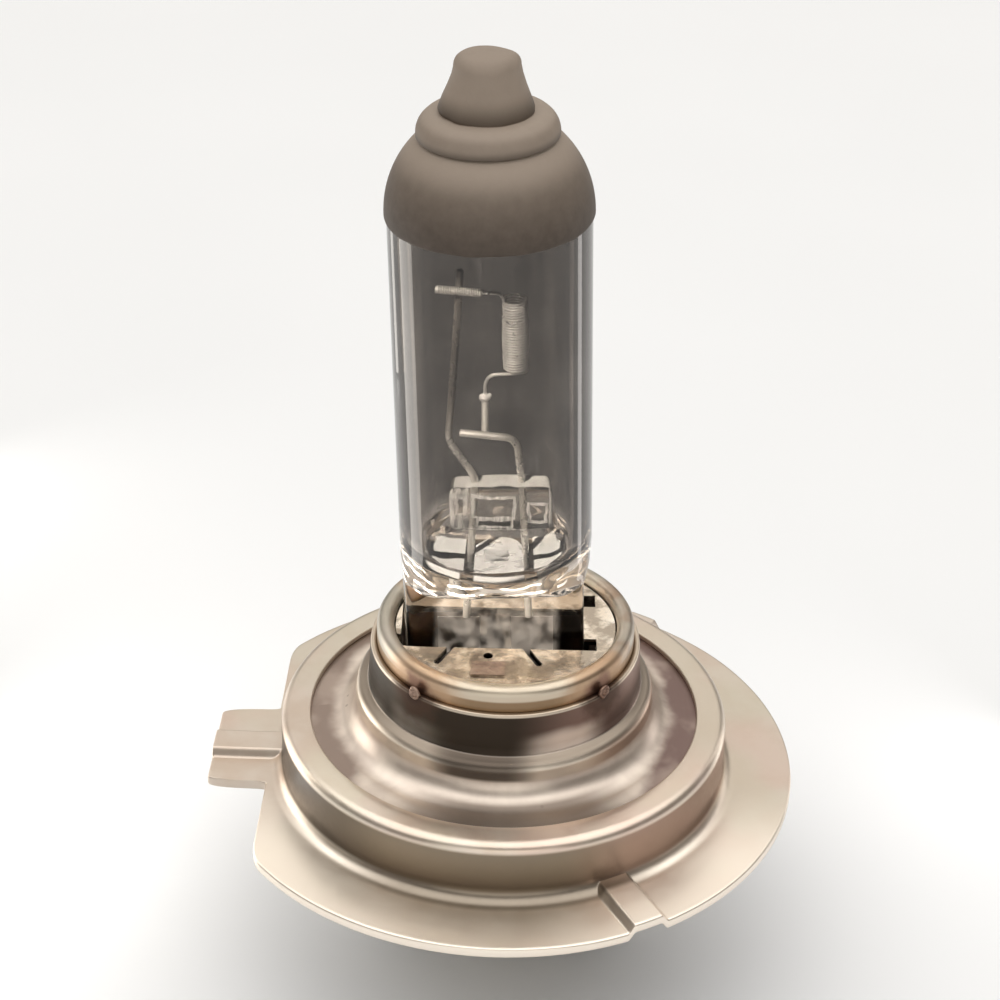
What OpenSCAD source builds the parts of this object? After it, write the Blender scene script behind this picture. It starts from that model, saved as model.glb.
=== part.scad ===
// Halogen headlight bulb with a flanged prefocus cap.
// Millimetres. The origin is on the cap's axis in the reference plane, which is the plane of the
// three flange bosses. +Z points to the bulb's tip, and the index tab points to -X.

/* [Prefocus cap] */
// Radius of the collar that centres the bulb in its lamp
collar_r = 13; // [12.8:0.1:13.2]
// Height of the collar's straight wall above the reference plane
collar_h = 2.5; // [2.3:0.1:2.8]
// Radius of the flange disc
flange_r = 17.05; // [16.8:0.05:17.4]
// Depth of the flange's top face below the reference plane
flange_drop = 0.5; // [0.4:0.1:0.7]
// Thickness of the flange and collar sheet
sheet_t = 0.6; // [0.5:0.1:0.7]
// Distance from the axis to the flange's straight edge
flat_edge_x = 13.7; // [13.6:0.1:14.2]
// Width of the index tab
tab_w = 7.8; // [6.8:0.2:8.4]
// Radius of the collar's inward lip at its inner edge
lip_r = 11.28; // [11.1:0.02:11.5]

/* [Sleeve and cup] */
// Outer radius of the sleeve at its top
sleeve_r = 7.73; // [7.6:0.01:7.9]
// Height of the sleeve's top edge
sleeve_top = 8.08; // [7.9:0.02:8.3]
// Outer radius of the burner cup's wall
cup_r = 7.38; // [7.3:0.02:7.42]
// Height of the middle of the cup's rolled rim
rim_z = 9; // [8.9:0.05:9.1]
// Radius of the rolled rim's own section
rim_roll_r = 0.5; // [0.4:0.05:0.5]

/* [Burner] */
// Lean of the burner towards -X, in degrees
burner_lean = 1.92; // [0:0.02:2]
// Offset of the burner's axis along X at the reference plane
burner_x = -0.19; // [-0.3:0.01:0.1]
// Offset of the burner's axis along Y
burner_y = 0.5; // [0.3:0.05:0.6]
// Outer radius of the quartz tube
tube_r = 5.41; // [5.35:0.01:5.5]
// Wall of the quartz tube
tube_wall = 1.05; // [0.9:0.05:1.2]
// Height of the middle of the dome's sphere
dome_z = 34.6; // [33:0.1:35]
// Thickness of the anti-glare coat on the dome
coat_t = 0.12; // [0.08:0.01:0.14]
// Width of the pinch seal
pinch_w = 10.3; // [10:0.1:10.4]
// Thickness of the pinch seal
pinch_t = 3.8; // [3.4:0.1:4]

/* [Filament] */
// Number of turns in the coil
coil_turns = 15; // [8:1:20]
// Height of the coil's lowest turn
coil_z0 = 25.4; // [25.2:0.05:25.6]
// Height of the coil's highest turn
coil_z1 = 29.75; // [29.5:0.05:29.85]
// Outer radius of the coil
coil_r = 0.74; // [0.6:0.02:0.75]
// Radius of the filament wire
coil_wire_r = 0.1; // [0.07:0.01:0.1]
// Distance of the coil from the quartz tube's axis
coil_x = 1.25; // [1.1:0.05:1.4]

/* [Contacts] */
// Width of a contact blade
blade_w = 6.3; // [5.8:0.1:6.3]
// Thickness of a contact blade
blade_t = 0.8; // [0.6:0.1:0.8]
// Distance from the cap's axis to a blade's middle
blade_x = 4.1; // [4:0.1:4.4]
// Depth of the blade tips below the reference plane
blade_z = 13.4; // [12:0.2:14]

/* [Hidden] */
$fn = 96;

// Flange, tab and bosses
flange_top = -flange_drop;
flange_bottom = flange_top - sheet_t;
foot_fillet = flange_drop;
rim_round = 0.6;
lip_t = 0.35;
lip_top = collar_h + 0.1 + rim_round;
lip_bottom = lip_top - lip_t;
collar_inner = collar_r - sheet_t;
tab_end = flange_r + 0.1;
tab_corner = 0.8;
tab_root_fillet = 0.5;
tab_root_x = flat_edge_x - 0.2;
boss_angles = [180, -60, 60];
boss_start = collar_r - 0.3;
boss_end = flange_r - 0.2;
boss_top_w = 1.5;
boss_foot_w = 2.6;
boss_edge = 0.18;
groove_foot_w = 1.5;
groove_top_w = 0.7;

// Sleeve and dish
dish_t = 0.35;
dish_r = collar_inner - 0.05;
dish_top = lip_bottom;
dish_foot_r = 8.6;
dish_fillet = 1.5;
fillet_x = dish_foot_r + dish_fillet + 0.02;
fillet_z = dish_top + 0.08 + dish_fillet;
step_z = 5.46;
step_r = 7.89;
shoulder_r = 0.55;

// Cup, rim and clip
cup_wall = 0.4;
cup_inner = cup_r - cup_wall;
rim_r = cup_r - rim_roll_r;
weld_angles = [-130, -44, 46, 136];
weld_r = 0.42;
weld_ring_r = sleeve_r - 0.12;
weld_ring_z = sleeve_top + 0.1;
clip_top = rim_z - 0.2;
clip_t = 0.4;
clip_slot_d = 5.6;
clip_slot_x = -0.74;
clip_slot_y = burner_y;
clip_slot_limit = 6.35;
relief_w = 0.7;
relief_d = 1.15;
slit_w = 0.38;
slit_in = [2.1, -2.2];
slit_out = [2.85, -3.75];
tongue_x = -0.95;
tongue_hole_r = 0.28;
tongue_pad = [1.9, 1.3, 0.12];
finger_t = 0.3;
finger_w = 2;
finger_z = 4.2;

// Quartz envelope, measured in the burner's own frame
pinch_x = -0.2;
pinch_bottom = 3;
pinch_top = 12.4;
shoulder_z = 15.4;
shoulder_round = 2.5;
pinch_fillet = 0.5;
guard = 0.2;
cavity_r = tube_r - tube_wall;
cavity_bottom = 13.6;
coat_z = dome_z - 0.05;
dome_end_angle = 49.5;
bead_x = 2.6;
bead_z = dome_z + 4.4;
bead_r = 1.02;
tip_z = dome_z + 8.48;

// Wires, in the burner's own frame
leg_r = coil_wire_r;
sleeve_wire_r = 0.26;
support_r = 0.22;
joint_bulge = 1.1;
wire_gap_y = sleeve_wire_r + support_r;
coil_mid_r = coil_r - coil_wire_r;
coil_steps = 12;
coil_sides = 6;
upper_leg_pts = [[coil_x - coil_mid_r - 0.1, 0, coil_z1 + 0.12], [0.39, 0, 29.99], [-0.52, 0, 29.99]];
upper_sleeve_pts = [[-0.52, 0, 29.99], [-2.95, 0, 30.23]];
lower_leg_pts = [[coil_x + coil_mid_r, 0, coil_z0 - 0.22], [-0.1, 0, 25.05], [-0.43, 0, 24]];
clamp_pts = [[-0.43, 0, 24], [-0.43, 0, 23.5]];
clamp_r = 0.34;
lower_sleeve_pts = [[-0.43, 0, 23.5], [-0.48, 0, 21.15]];
long_wire_low = [-1.75, 0, 9.6];
long_wire_high = [-1.06, 0, 18.65];
long_wire_pts = [
    long_wire_low, long_wire_high, [-2.55, 0.2, 20.9], [-1.85, wire_gap_y, 28.5], [-1.66, wire_gap_y, 31.15]
];
short_wire_low = [1.82, 0, 9.6];
short_wire_high = [1.48, 0, 18.65];
short_wire_pts = [
    short_wire_low, short_wire_high, [1.3, -0.3, 20.8], [0.95, -wire_gap_y, 21.4], [-1.78, -wire_gap_y, 21.75]
];
bridge_size = [5.65, 2.2, 2.8];
bridge_x = 0.33;
bridge_z = 17;

// Foils and lead pins, in the burner's own frame
foil_size = [2.4, 0.1, 4.6];
foil_x = [-2.2, 2];
foil_z = 5;
pin_r = 0.39;
pin_bottom = 1.2;

// Base
insulator_r = 9.2;
insulator_bottom = -6.5;
spigot_top = 1;
plateau_r = 8.3;
plateau_h = 0.6;
shell_t = 0.4;
shell_flange_r = 13.4;
shell_lip_r = 8.4;
blade_root = -3;
blade_chamfer = 0.9;
blade_hole_r = 0.8;
blade_hole_z = 4.2;
neck_w = 2;
neck_x = 2.2;
neck_top = 2.6;
neck_y0 = -blade_t / 2;
neck_y1 = 0.1;

// Points along an arc in a plane, from angle a0 to a1
function arc(cx, cy, r, a0, a1, n = 8) =
    [for (i = [0:n]) [cx + r * cos(a0 + (a1 - a0) * i / n), cy + r * sin(a0 + (a1 - a0) * i / n)]];

// A list in the opposite order
function reversed(list) = [for (i = [len(list) - 1:-1:0]) list[i]];

// A half outline (x > 0) closed by its mirror image
function mirrored(half) = concat(half, [for (p = reversed(half)) [-p[0], p[1]]]);

// Section of the pressed flange and collar
flange_section = concat(
    [[flange_r, flange_bottom], [flange_r, flange_top]],
    arc(collar_r + foot_fillet, flange_top + foot_fillet, foot_fillet, 270, 180, 6),
    arc(collar_r - rim_round, collar_h + 0.1, rim_round, 0, 90, 8),
    [[lip_r, lip_top], [lip_r, lip_bottom]],
    arc(collar_inner - 0.25, lip_bottom - 0.25, 0.25, 90, 0, 4),
    arc(collar_inner + foot_fillet + sheet_t, flange_top + foot_fillet, foot_fillet + sheet_t, 180, 270, 6)
);

// Section of the dish and stepped sleeve
sleeve_section = concat(
    [[dish_r, dish_top - dish_t], [dish_r, dish_top], [11, dish_top]],
    arc(fillet_x, fillet_z, dish_fillet, 270, 187, 8),
    arc(dish_foot_r - shoulder_r, step_z - 0.7, shoulder_r, 5, 70, 6),
    [[step_r, step_z], [sleeve_r, sleeve_top - 0.08], [sleeve_r - 0.06, sleeve_top], [cup_r, sleeve_top]],
    [[cup_r, step_z - 0.3], [7.8, 4.95], [8.2, 4.5]],
    arc(fillet_x, fillet_z, dish_fillet + dish_t, 187, 270, 8),
    [[11, dish_top - dish_t]]
);

// Section of the burner cup with its rolled rim
cup_section = concat(
    [[cup_inner, flange_bottom], [cup_r, flange_bottom]],
    arc(rim_r, rim_z, rim_roll_r, 0, 250, 18),
    [[cup_inner, rim_z - 0.55]]
);

// Section of the clip plate, dished up to meet the rolled rim
clip_section = [
    [0, clip_top - clip_t], [5.9, clip_top - clip_t], [6.3, clip_top - 0.7], [cup_inner, clip_top - 0.7],
    [cup_inner, clip_top - 0.37], [6.55, clip_top - 0.32], [6.3, clip_top + 0.08], [6, clip_top + 0.02],
    [5.6, clip_top], [0, clip_top]
];

// Outer line of the dome, its bead and the sealed-off tip, grown outwards by t
function dome_line(t) = concat(
    [[tube_r + t, coat_z]],
    arc(0, dome_z, tube_r + t, 0, dome_end_angle, 14),
    [[3.44 + 0.7 * t, dome_z + 4.2 + 0.6 * t]],
    arc(bead_x, bead_z, bead_r + t, -5, 80, 10),
    [[2.28 + t, tip_z - 3.04 + t], [2.38 + t, tip_z - 2.94 + t], [2.12 + t, tip_z - 2.28]],
    [[1.9 + t, tip_z - 1.63], [1.72 + t, tip_z - 1.03]],
    arc(1.07, tip_z - 0.58, 0.55 + t, 0, 80, 6),
    [[0, tip_z + t]]
);

envelope_section = concat([[0, pinch_bottom], [tube_r, pinch_bottom]], dome_line(0));
coat_section = concat(dome_line(coat_t), reversed(dome_line(0)));
cavity_section = concat(
    [[0, cavity_bottom], [2.2, cavity_bottom + 0.1], [3.4, cavity_bottom + 0.5], [4.1, cavity_bottom + 1.1]],
    [[cavity_r, cavity_bottom + 1.8]],
    arc(0, dome_z - 0.2, cavity_r, 0, 90, 12)
);

// Half outlines that shape the envelope's lower end: across its thickness, then across its width
shoulder_half = concat(
    [[pinch_t / 2, pinch_bottom - 1]],
    arc(pinch_t / 2 + pinch_fillet, pinch_top, pinch_fillet, 180, 90, 5),
    arc(tube_r + guard - shoulder_round, shoulder_z, shoulder_round, -88, 0, 10),
    [[tube_r + guard, tip_z + 2]]
);
width_right = [
    [pinch_x + pinch_w / 2, pinch_bottom - 1], [pinch_x + pinch_w / 2, pinch_top + 0.4],
    [tube_r + guard, pinch_top + 2], [tube_r + guard, tip_z + 2]
];
width_left = [
    [pinch_x - pinch_w / 2, pinch_bottom - 1], [pinch_x - pinch_w / 2, pinch_top + 0.4],
    [-tube_r - guard, pinch_top + 2], [-tube_r - guard, tip_z + 2]
];

// Puts a piece into the leaning burner's frame
module burner() {
    translate([burner_x, burner_y, 0]) rotate([0, -burner_lean, 0]) children();
}

// A round rod from p to q
module rod(p, q, r) {
    d = q - p;
    translate(p) rotate([0, acos(d[2] / norm(d)), atan2(d[1], d[0])]) cylinder(h = norm(d), r = r, $fn = 24);
}

// A bent wire through a list of points, with a rounded joint at each bend
module wire(pts, r) {
    for (i = [0:len(pts) - 2]) rod(pts[i], pts[i + 1], r);
    for (i = [1:1:len(pts) - 2]) translate(pts[i]) sphere(r * joint_bulge, $fn = 24);
}

// A bar that stands on the YZ plane, runs outwards along X and has the section's own outline
module radial_bar(x0, x1, outline) {
    translate([x0, 0, 0]) rotate([90, 0, 90]) linear_extrude(x1 - x0) polygon(outline);
}

module boss(x1) {
    foot = flange_top - 0.1;
    radial_bar(boss_start, x1, mirrored([
        [boss_foot_w / 2, foot], [boss_foot_w / 2, flange_top], [boss_top_w / 2 + boss_edge, -boss_edge],
        [boss_top_w / 2, 0]
    ]));
}

module boss_groove() {
    radial_bar(collar_r + 0.8, tab_end + 1, mirrored([
        [groove_foot_w / 2, flange_bottom - 1], [groove_foot_w / 2, flange_bottom], [groove_top_w / 2, -sheet_t]
    ]));
}

module tab_outline() {
    half = tab_w / 2;
    translate([-tab_end, -half + tab_corner]) square([tab_end - tab_root_x, tab_w - 2 * tab_corner]);
    translate([-tab_end + tab_corner, -half]) square([tab_end - tab_corner - tab_root_x, tab_w]);
    for (s = [-1, 1]) translate([-tab_end + tab_corner, s * (half - tab_corner)]) circle(tab_corner);
    for (s = [-1, 1]) difference() {
        translate([-flat_edge_x - tab_root_fillet, s * half - (s < 0 ? tab_root_fillet : 0)])
            square([tab_root_fillet + 0.1, tab_root_fillet]);
        translate([-flat_edge_x - tab_root_fillet, s * (half + tab_root_fillet)]) circle(tab_root_fillet);
    }
}

module prefocus_flange() {
    color("#d6c4ae") difference() {
        union() {
            difference() {
                rotate_extrude() polygon(flange_section);
                translate([-flange_r - 2, -flange_r, flange_bottom - 1])
                    cube([flange_r + 2 - flat_edge_x, 2 * flange_r, 1.5 + sheet_t]);
            }
            translate([0, 0, flange_bottom]) linear_extrude(sheet_t) tab_outline();
            for (a = boss_angles) rotate(a) boss(boss_end);
        }
        for (a = boss_angles) rotate(a) boss_groove();
    }
}

module outer_sleeve() {
    color("#b9a596") rotate_extrude() polygon(sleeve_section);
}

module burner_cup() {
    color("#dcc493") rotate_extrude() polygon(cup_section);
}

// Laser weld dots that join the sleeve to the cup
module weld_dots() {
    color("#7d5a45") difference() {
        for (a = weld_angles) rotate(a) translate([weld_ring_r, 0, weld_ring_z]) sphere(weld_r, $fn = 32);
        rotate_extrude() polygon(sleeve_section);
        rotate_extrude() polygon(cup_section);
    }
}

module slit(s) {
    run = slit_out - slit_in;
    translate([tongue_x + s * slit_in[0], slit_in[1], 0])
        rotate(atan2(run[1], s * run[0])) translate([0, -slit_w / 2]) square([norm(run), slit_w]);
    translate([tongue_x + s * slit_out[0], slit_out[1]]) circle(slit_w / 2);
}

// The slot that the pinch goes through, with a relief at each corner, and the tongue's two slits
module clip_cutouts() {
    slot_w = pinch_w + 0.16;
    intersection() {
        circle(clip_slot_limit);
        union() {
            translate([clip_slot_x - slot_w / 2, clip_slot_y - clip_slot_d / 2]) square([slot_w, clip_slot_d]);
            for (s = [-1, 1]) translate([
                clip_slot_x - slot_w / 2 - relief_w,
                clip_slot_y + s * (clip_slot_d - relief_d) / 2 - relief_d / 2
            ]) square([slot_w + 2 * relief_w, relief_d]);
        }
    }
    for (s = [-1, 1]) slit(s);
    translate([tongue_x, slit_in[1] - 0.85]) circle(tongue_hole_r);
}

module retaining_clip() {
    color("#cdbb9c") {
        difference() {
            rotate_extrude() polygon(clip_section);
            translate([0, 0, clip_top - 3]) linear_extrude(4) clip_cutouts();
        }
        translate([tongue_x - tongue_pad[0] / 2, -5.05, clip_top - 0.05])
            cube([tongue_pad[0], tongue_pad[1], 0.05 + tongue_pad[2]]);
        for (s = [-1, 1]) translate([clip_slot_x + s * (pinch_w / 2 + 0.23) - finger_t / 2, 0, 0])
            translate([0, clip_slot_y - finger_w / 2, finger_z]) cube([finger_t, finger_w, clip_top - 0.1 - finger_z]);
    }
}

module quartz_envelope() {
    color("#cfd3d2", 0.35) burner() difference() {
        intersection() {
            rotate_extrude() polygon(envelope_section);
            translate([-tube_r - 2, 0, 0]) rotate([90, 0, 90]) linear_extrude(2 * tube_r + 4)
                polygon(mirrored(shoulder_half));
            translate([0, tube_r + 2, 0]) rotate([90, 0, 0]) linear_extrude(2 * tube_r + 4)
                polygon(concat(width_right, reversed(width_left)));
        }
        rotate_extrude() polygon(cavity_section);
        rod(long_wire_low, long_wire_high, support_r);
        rod(short_wire_low, short_wire_high, support_r);
        for (x = foil_x) {
            foil_block(x);
            translate([x, 0, pin_bottom]) cylinder(h = foil_z - pin_bottom, r = pin_r);
        }
    }
}

module antiglare_coat() {
    color("#7d7064") burner() rotate_extrude() polygon(coat_section);
}

// One ring of the coil's skin: k steps along the helix
function coil_ring(k) =
    let (
        a = 360 * k / coil_steps,
        z = coil_z0 + (coil_z1 - coil_z0) * k / (coil_turns * coil_steps + coil_steps / 2)
    )
    [for (j = [0:coil_sides - 1]) let (b = 360 * j / coil_sides, q = coil_mid_r + coil_wire_r * cos(b))
        [coil_x + q * cos(a), q * sin(a), z + coil_wire_r * sin(b)]];

module filament_coil() {
    last = coil_turns * coil_steps + coil_steps / 2;
    skin = [for (k = [0:last]) each coil_ring(k)];
    sides = [for (k = [0:last - 1]) for (j = [0:coil_sides - 1]) let (
        n = (j + 1) % coil_sides,
        low = k * coil_sides,
        high = low + coil_sides
    ) [low + j, low + n, high + n, high + j]];
    start_cap = [for (j = [coil_sides - 1:-1:0]) j];
    end_cap = [for (j = [0:coil_sides - 1]) last * coil_sides + j];
    color("#c9c4bb") burner() polyhedron(skin, concat(sides, [start_cap, end_cap]));
}

module upper_leg() {
    color("#b4afa8") burner() wire(upper_leg_pts, leg_r);
}

module lower_leg() {
    color("#b4afa8") burner() wire(lower_leg_pts, leg_r);
}

module upper_leg_sleeve() {
    color("#a59f97") burner() wire(upper_sleeve_pts, sleeve_wire_r);
}

module lower_leg_sleeve() {
    color("#a59f97") burner() wire(lower_sleeve_pts, sleeve_wire_r);
}

module leg_clamp() {
    color("#e0dcd4") burner() wire(clamp_pts, clamp_r);
}

module long_support_wire() {
    color("#9c948c") burner() wire(long_wire_pts, support_r);
}

module short_support_wire() {
    color("#9c948c") burner() wire(short_wire_pts, support_r);
}

// The quartz bar that holds both support wires, with round long edges
module quartz_bridge() {
    edge = bridge_size[1] / 2;
    color("#f2efe8", 0.5) burner() difference() {
        union() {
            translate([bridge_x - bridge_size[0] / 2, -edge, bridge_z - bridge_size[2] / 2 + edge / 2])
                cube([bridge_size[0], bridge_size[1], bridge_size[2] - edge]);
            translate([bridge_x - bridge_size[0] / 2, -edge / 2, bridge_z - bridge_size[2] / 2])
                cube([bridge_size[0], edge, bridge_size[2]]);
            for (y = [-1, 1], z = [-1, 1])
                translate([bridge_x - bridge_size[0] / 2, y * edge / 2, bridge_z + z * (bridge_size[2] - edge) / 2])
                    rotate([0, 90, 0]) cylinder(h = bridge_size[0], r = edge / 2);
        }
        rod(long_wire_low, long_wire_high, support_r);
        rod(short_wire_low, short_wire_high, support_r);
    }
}

module foil_block(x) {
    translate([x - foil_size[0] / 2, -foil_size[1] / 2, foil_z]) cube(foil_size);
}

module foil_left() {
    color("#8f8a84") burner() foil_block(foil_x[0]);
}

module foil_right() {
    color("#8f8a84") burner() foil_block(foil_x[1]);
}

module lead_pin(x) {
    color("#a8a39b") burner() translate([x, 0, pin_bottom]) cylinder(h = foil_z - pin_bottom, r = pin_r);
}

module lead_pin_left() {
    lead_pin(foil_x[0]);
}

module lead_pin_right() {
    lead_pin(foil_x[1]);
}

module blade_body(s) {
    half = blade_w / 2;
    translate([s * blade_x, blade_t / 2, 0]) rotate([90, 0, 0]) linear_extrude(blade_t) polygon([
        [-half, blade_root], [half, blade_root], [half, -blade_z + blade_chamfer],
        [half - blade_chamfer, -blade_z], [-half + blade_chamfer, -blade_z], [-half, -blade_z + blade_chamfer]
    ]);
    translate([s * neck_x - neck_w / 2, neck_y0, blade_root])
        cube([neck_w, neck_y1 - neck_y0, neck_top - blade_root]);
}

module contact_blade(s) {
    color("#cfc8ba") difference() {
        blade_body(s);
        translate([s * blade_x, 0, -blade_z + blade_hole_z]) rotate([90, 0, 0])
            cylinder(h = blade_t + 2, r = blade_hole_r, center = true);
    }
}

module blade_left() {
    contact_blade(-1);
}

module blade_right() {
    contact_blade(1);
}

module base_insulator() {
    color("#d9d2c3") difference() {
        union() {
            translate([0, 0, insulator_bottom]) cylinder(h = flange_bottom - insulator_bottom, r = insulator_r);
            translate([0, 0, flange_bottom]) cylinder(h = spigot_top - flange_bottom, r = cup_inner);
            translate([0, 0, insulator_bottom - plateau_h]) cylinder(h = plateau_h, r = plateau_r);
        }
        for (s = [-1, 1]) blade_body(s);
    }
}

module base_shell() {
    outer = insulator_r + shell_t;
    color("#c9b8a2") rotate_extrude() polygon(concat(
        [[insulator_r, flange_bottom], [insulator_r, insulator_bottom], [shell_lip_r, insulator_bottom]],
        [[shell_lip_r, insulator_bottom - shell_t]],
        arc(outer - 0.3, insulator_bottom - shell_t + 0.3, 0.3, -90, 0, 4),
        arc(outer + 0.3, flange_bottom - shell_t - 0.3, 0.3, 180, 90, 4),
        [[shell_flange_r, flange_bottom - shell_t], [shell_flange_r, flange_bottom]]
    ));
}

prefocus_flange();
outer_sleeve();
burner_cup();
weld_dots();
retaining_clip();
quartz_envelope();
antiglare_coat();
filament_coil();
upper_leg();
lower_leg();
upper_leg_sleeve();
lower_leg_sleeve();
leg_clamp();
long_support_wire();
short_support_wire();
quartz_bridge();
foil_left();
foil_right();
lead_pin_left();
lead_pin_right();
base_insulator();
base_shell();
blade_left();
blade_right();
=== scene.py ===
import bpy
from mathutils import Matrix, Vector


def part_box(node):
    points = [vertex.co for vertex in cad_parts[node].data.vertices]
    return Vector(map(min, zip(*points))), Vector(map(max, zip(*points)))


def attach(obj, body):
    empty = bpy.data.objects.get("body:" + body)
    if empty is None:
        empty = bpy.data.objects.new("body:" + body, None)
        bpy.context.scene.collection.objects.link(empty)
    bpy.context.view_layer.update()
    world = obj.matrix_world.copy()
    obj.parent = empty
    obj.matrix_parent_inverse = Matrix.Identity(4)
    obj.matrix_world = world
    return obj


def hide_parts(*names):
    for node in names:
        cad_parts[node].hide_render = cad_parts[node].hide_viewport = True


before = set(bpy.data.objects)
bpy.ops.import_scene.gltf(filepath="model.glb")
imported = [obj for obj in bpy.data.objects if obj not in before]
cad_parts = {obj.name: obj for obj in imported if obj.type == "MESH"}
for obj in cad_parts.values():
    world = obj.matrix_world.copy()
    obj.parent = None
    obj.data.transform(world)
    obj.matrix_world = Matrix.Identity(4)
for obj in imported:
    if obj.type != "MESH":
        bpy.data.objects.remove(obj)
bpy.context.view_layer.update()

import math

import bmesh
import bpy
from mathutils import Matrix, Vector, noise

# Points are made in millimetres, in the CAD frame or, where BURNER is given, in the burner's own, and stored in metres.
MM = 0.001
MERGE_M = 2e-7
scene = bpy.context.scene


# ---------------------------------------------------------------- shapes

def arc(cx, cz, r, start, end, steps):
    """Points of a circle's arc, angles in degrees."""
    out = []
    for i in range(steps + 1):
        a = math.radians(start + (end - start) * i / steps)
        out.append((cx + r * math.cos(a), cz + r * math.sin(a)))
    return out


def smooth_min(a, b, k):
    """The smaller of two values, rounded where they cross."""
    h = max(k - abs(a - b), 0.0)
    return min(a, b) - h * h / (4 * k)


def smooth_max(a, b, k):
    """The larger of two values, rounded where they cross."""
    h = max(k - abs(a - b), 0.0)
    return max(a, b) + h * h / (4 * k)


def smooth_step(low_edge, high_edge, value):
    """0 at the first edge, 1 at the second, with soft ends."""
    t = min(1.0, max(0.0, (value - low_edge) / (high_edge - low_edge)))
    return t * t * (3 - 2 * t)


def add_piece(name, points_and_faces, mat, node, sharp=180.0, matrix=None, fix_normals=True, second=None):
    """A mesh piece that replaces a CAD node and rides on the one body. second = (first face, its material)."""
    verts, faces = points_and_faces
    mesh = bpy.data.meshes.new(name)
    if matrix is not None:
        verts = [matrix @ Vector(v) for v in verts]
    mesh.from_pydata([(v[0] * MM, v[1] * MM, v[2] * MM) for v in verts], [], faces)
    if second:
        for face in mesh.polygons[second[0]:]:
            face.material_index = 1
    bm = bmesh.new()
    bm.from_mesh(mesh)
    bmesh.ops.remove_doubles(bm, verts=bm.verts, dist=MERGE_M)
    if fix_normals:
        bmesh.ops.recalc_face_normals(bm, faces=bm.faces)
    bm.to_mesh(mesh)
    bm.free()
    mesh.shade_smooth()
    if sharp < 180:
        mesh.set_sharp_from_angle(angle=math.radians(sharp))
    mesh.materials.append(mat)
    if second:
        mesh.materials.append(second[1])
    obj = bpy.data.objects.new(name, mesh)
    scene.collection.objects.link(obj)
    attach(obj, "root")
    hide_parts(node)
    return obj


def ring_faces(rows, count, close_rows=False, base=0, inward=False):
    """Quads between neighbouring rows of count points, each row a closed ring."""
    faces = []
    for i in range(rows if close_rows else rows - 1):
        j = (i + 1) % rows
        for k in range(count):
            m = (k + 1) % count
            a, b = base + i * count, base + j * count
            faces.append((a + k, b + k, b + m, a + m) if inward else (a + k, a + m, b + m, b + k))
    return faces


def lathe(profile, steps, shape=None):
    """Points and faces of a closed profile of (radius, height) turned about Z."""
    verts = []
    for i in range(steps):
        a = 2 * math.pi * i / steps
        ca, sa = math.cos(a), math.sin(a)
        for r, z in profile:
            v = (r * ca, r * sa, z)
            verts.append(shape(*v) if shape else v)
    return verts, ring_faces(steps, len(profile), close_rows=True, inward=True)


def sweep(points, radius, sides=16):
    """A round rod along points, with rounded ends."""
    pts = [Vector(p) for p in points]
    radii = [radius] * len(pts)
    head = (pts[0] - pts[1]).normalized()
    tail = (pts[-1] - pts[-2]).normalized()
    for out, scale in ((0.35, 0.92), (0.7, 0.66), (0.95, 0.2)):
        pts.insert(0, Vector(points[0]) + head * radius * 0.5 * out)
        radii.insert(0, radius * scale)
        pts.append(Vector(points[-1]) + tail * radius * 0.5 * out)
        radii.append(radius * scale)
    tangents = []
    for i in range(len(pts)):
        before, after = pts[max(0, i - 1)], pts[min(len(pts) - 1, i + 1)]
        tangents.append((after - before).normalized())
    side = tangents[0].orthogonal().normalized()
    verts = []
    for i, p in enumerate(pts):
        t = tangents[i]
        side = (side - t * side.dot(t)).normalized()
        up = t.cross(side)
        for k in range(sides):
            a = 2 * math.pi * k / sides
            verts.append(p + (side * math.cos(a) + up * math.sin(a)) * radii[i])
    faces = ring_faces(len(pts), sides)
    faces.append(tuple(range(sides - 1, -1, -1)))
    end = (len(pts) - 1) * sides
    faces.append(tuple(range(end, end + sides)))
    return verts, faces


def rounded_path(points, radius, steps=8):
    """A polyline with its inner corners turned into curves."""
    pts = [Vector(p) for p in points]
    out = [pts[0]]
    for i in range(1, len(pts) - 1):
        a, b, c = pts[i - 1], pts[i], pts[i + 1]
        reach = min(radius, (a - b).length * 0.48, (c - b).length * 0.48)
        start = b + (a - b).normalized() * reach
        end = b + (c - b).normalized() * reach
        for k in range(steps + 1):
            t = k / steps
            out.append(start.lerp(b, t).lerp(b.lerp(end, t), t))
    out.append(pts[-1])
    return out


def join_parts(parts):
    """One list of points and faces from several (points, faces)."""
    verts, faces = [], []
    for v, f in parts:
        base = len(verts)
        verts += v
        faces += [tuple(n + base for n in face) for face in f]
    return verts, faces


def ball(centre, radius, squash=(1, 1, 1), rings=12, sides=20, rough=0.0):
    """A ball with an uneven surface."""
    centre = Vector(centre)
    verts = []
    for i in range(rings + 1):
        a = math.pi * i / rings
        for k in range(sides):
            b = 2 * math.pi * k / sides
            d = Vector((math.sin(a) * math.cos(b), math.sin(a) * math.sin(b), math.cos(a)))
            r = radius * (1 + rough * noise.noise(d * 2.3 + centre))
            verts.append(centre + Vector((d.x * squash[0], d.y * squash[1], d.z * squash[2])) * r)
    return verts, ring_faces(rings + 1, sides, inward=True)


# ---------------------------------------------------------------- sizes, in millimetres

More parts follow.
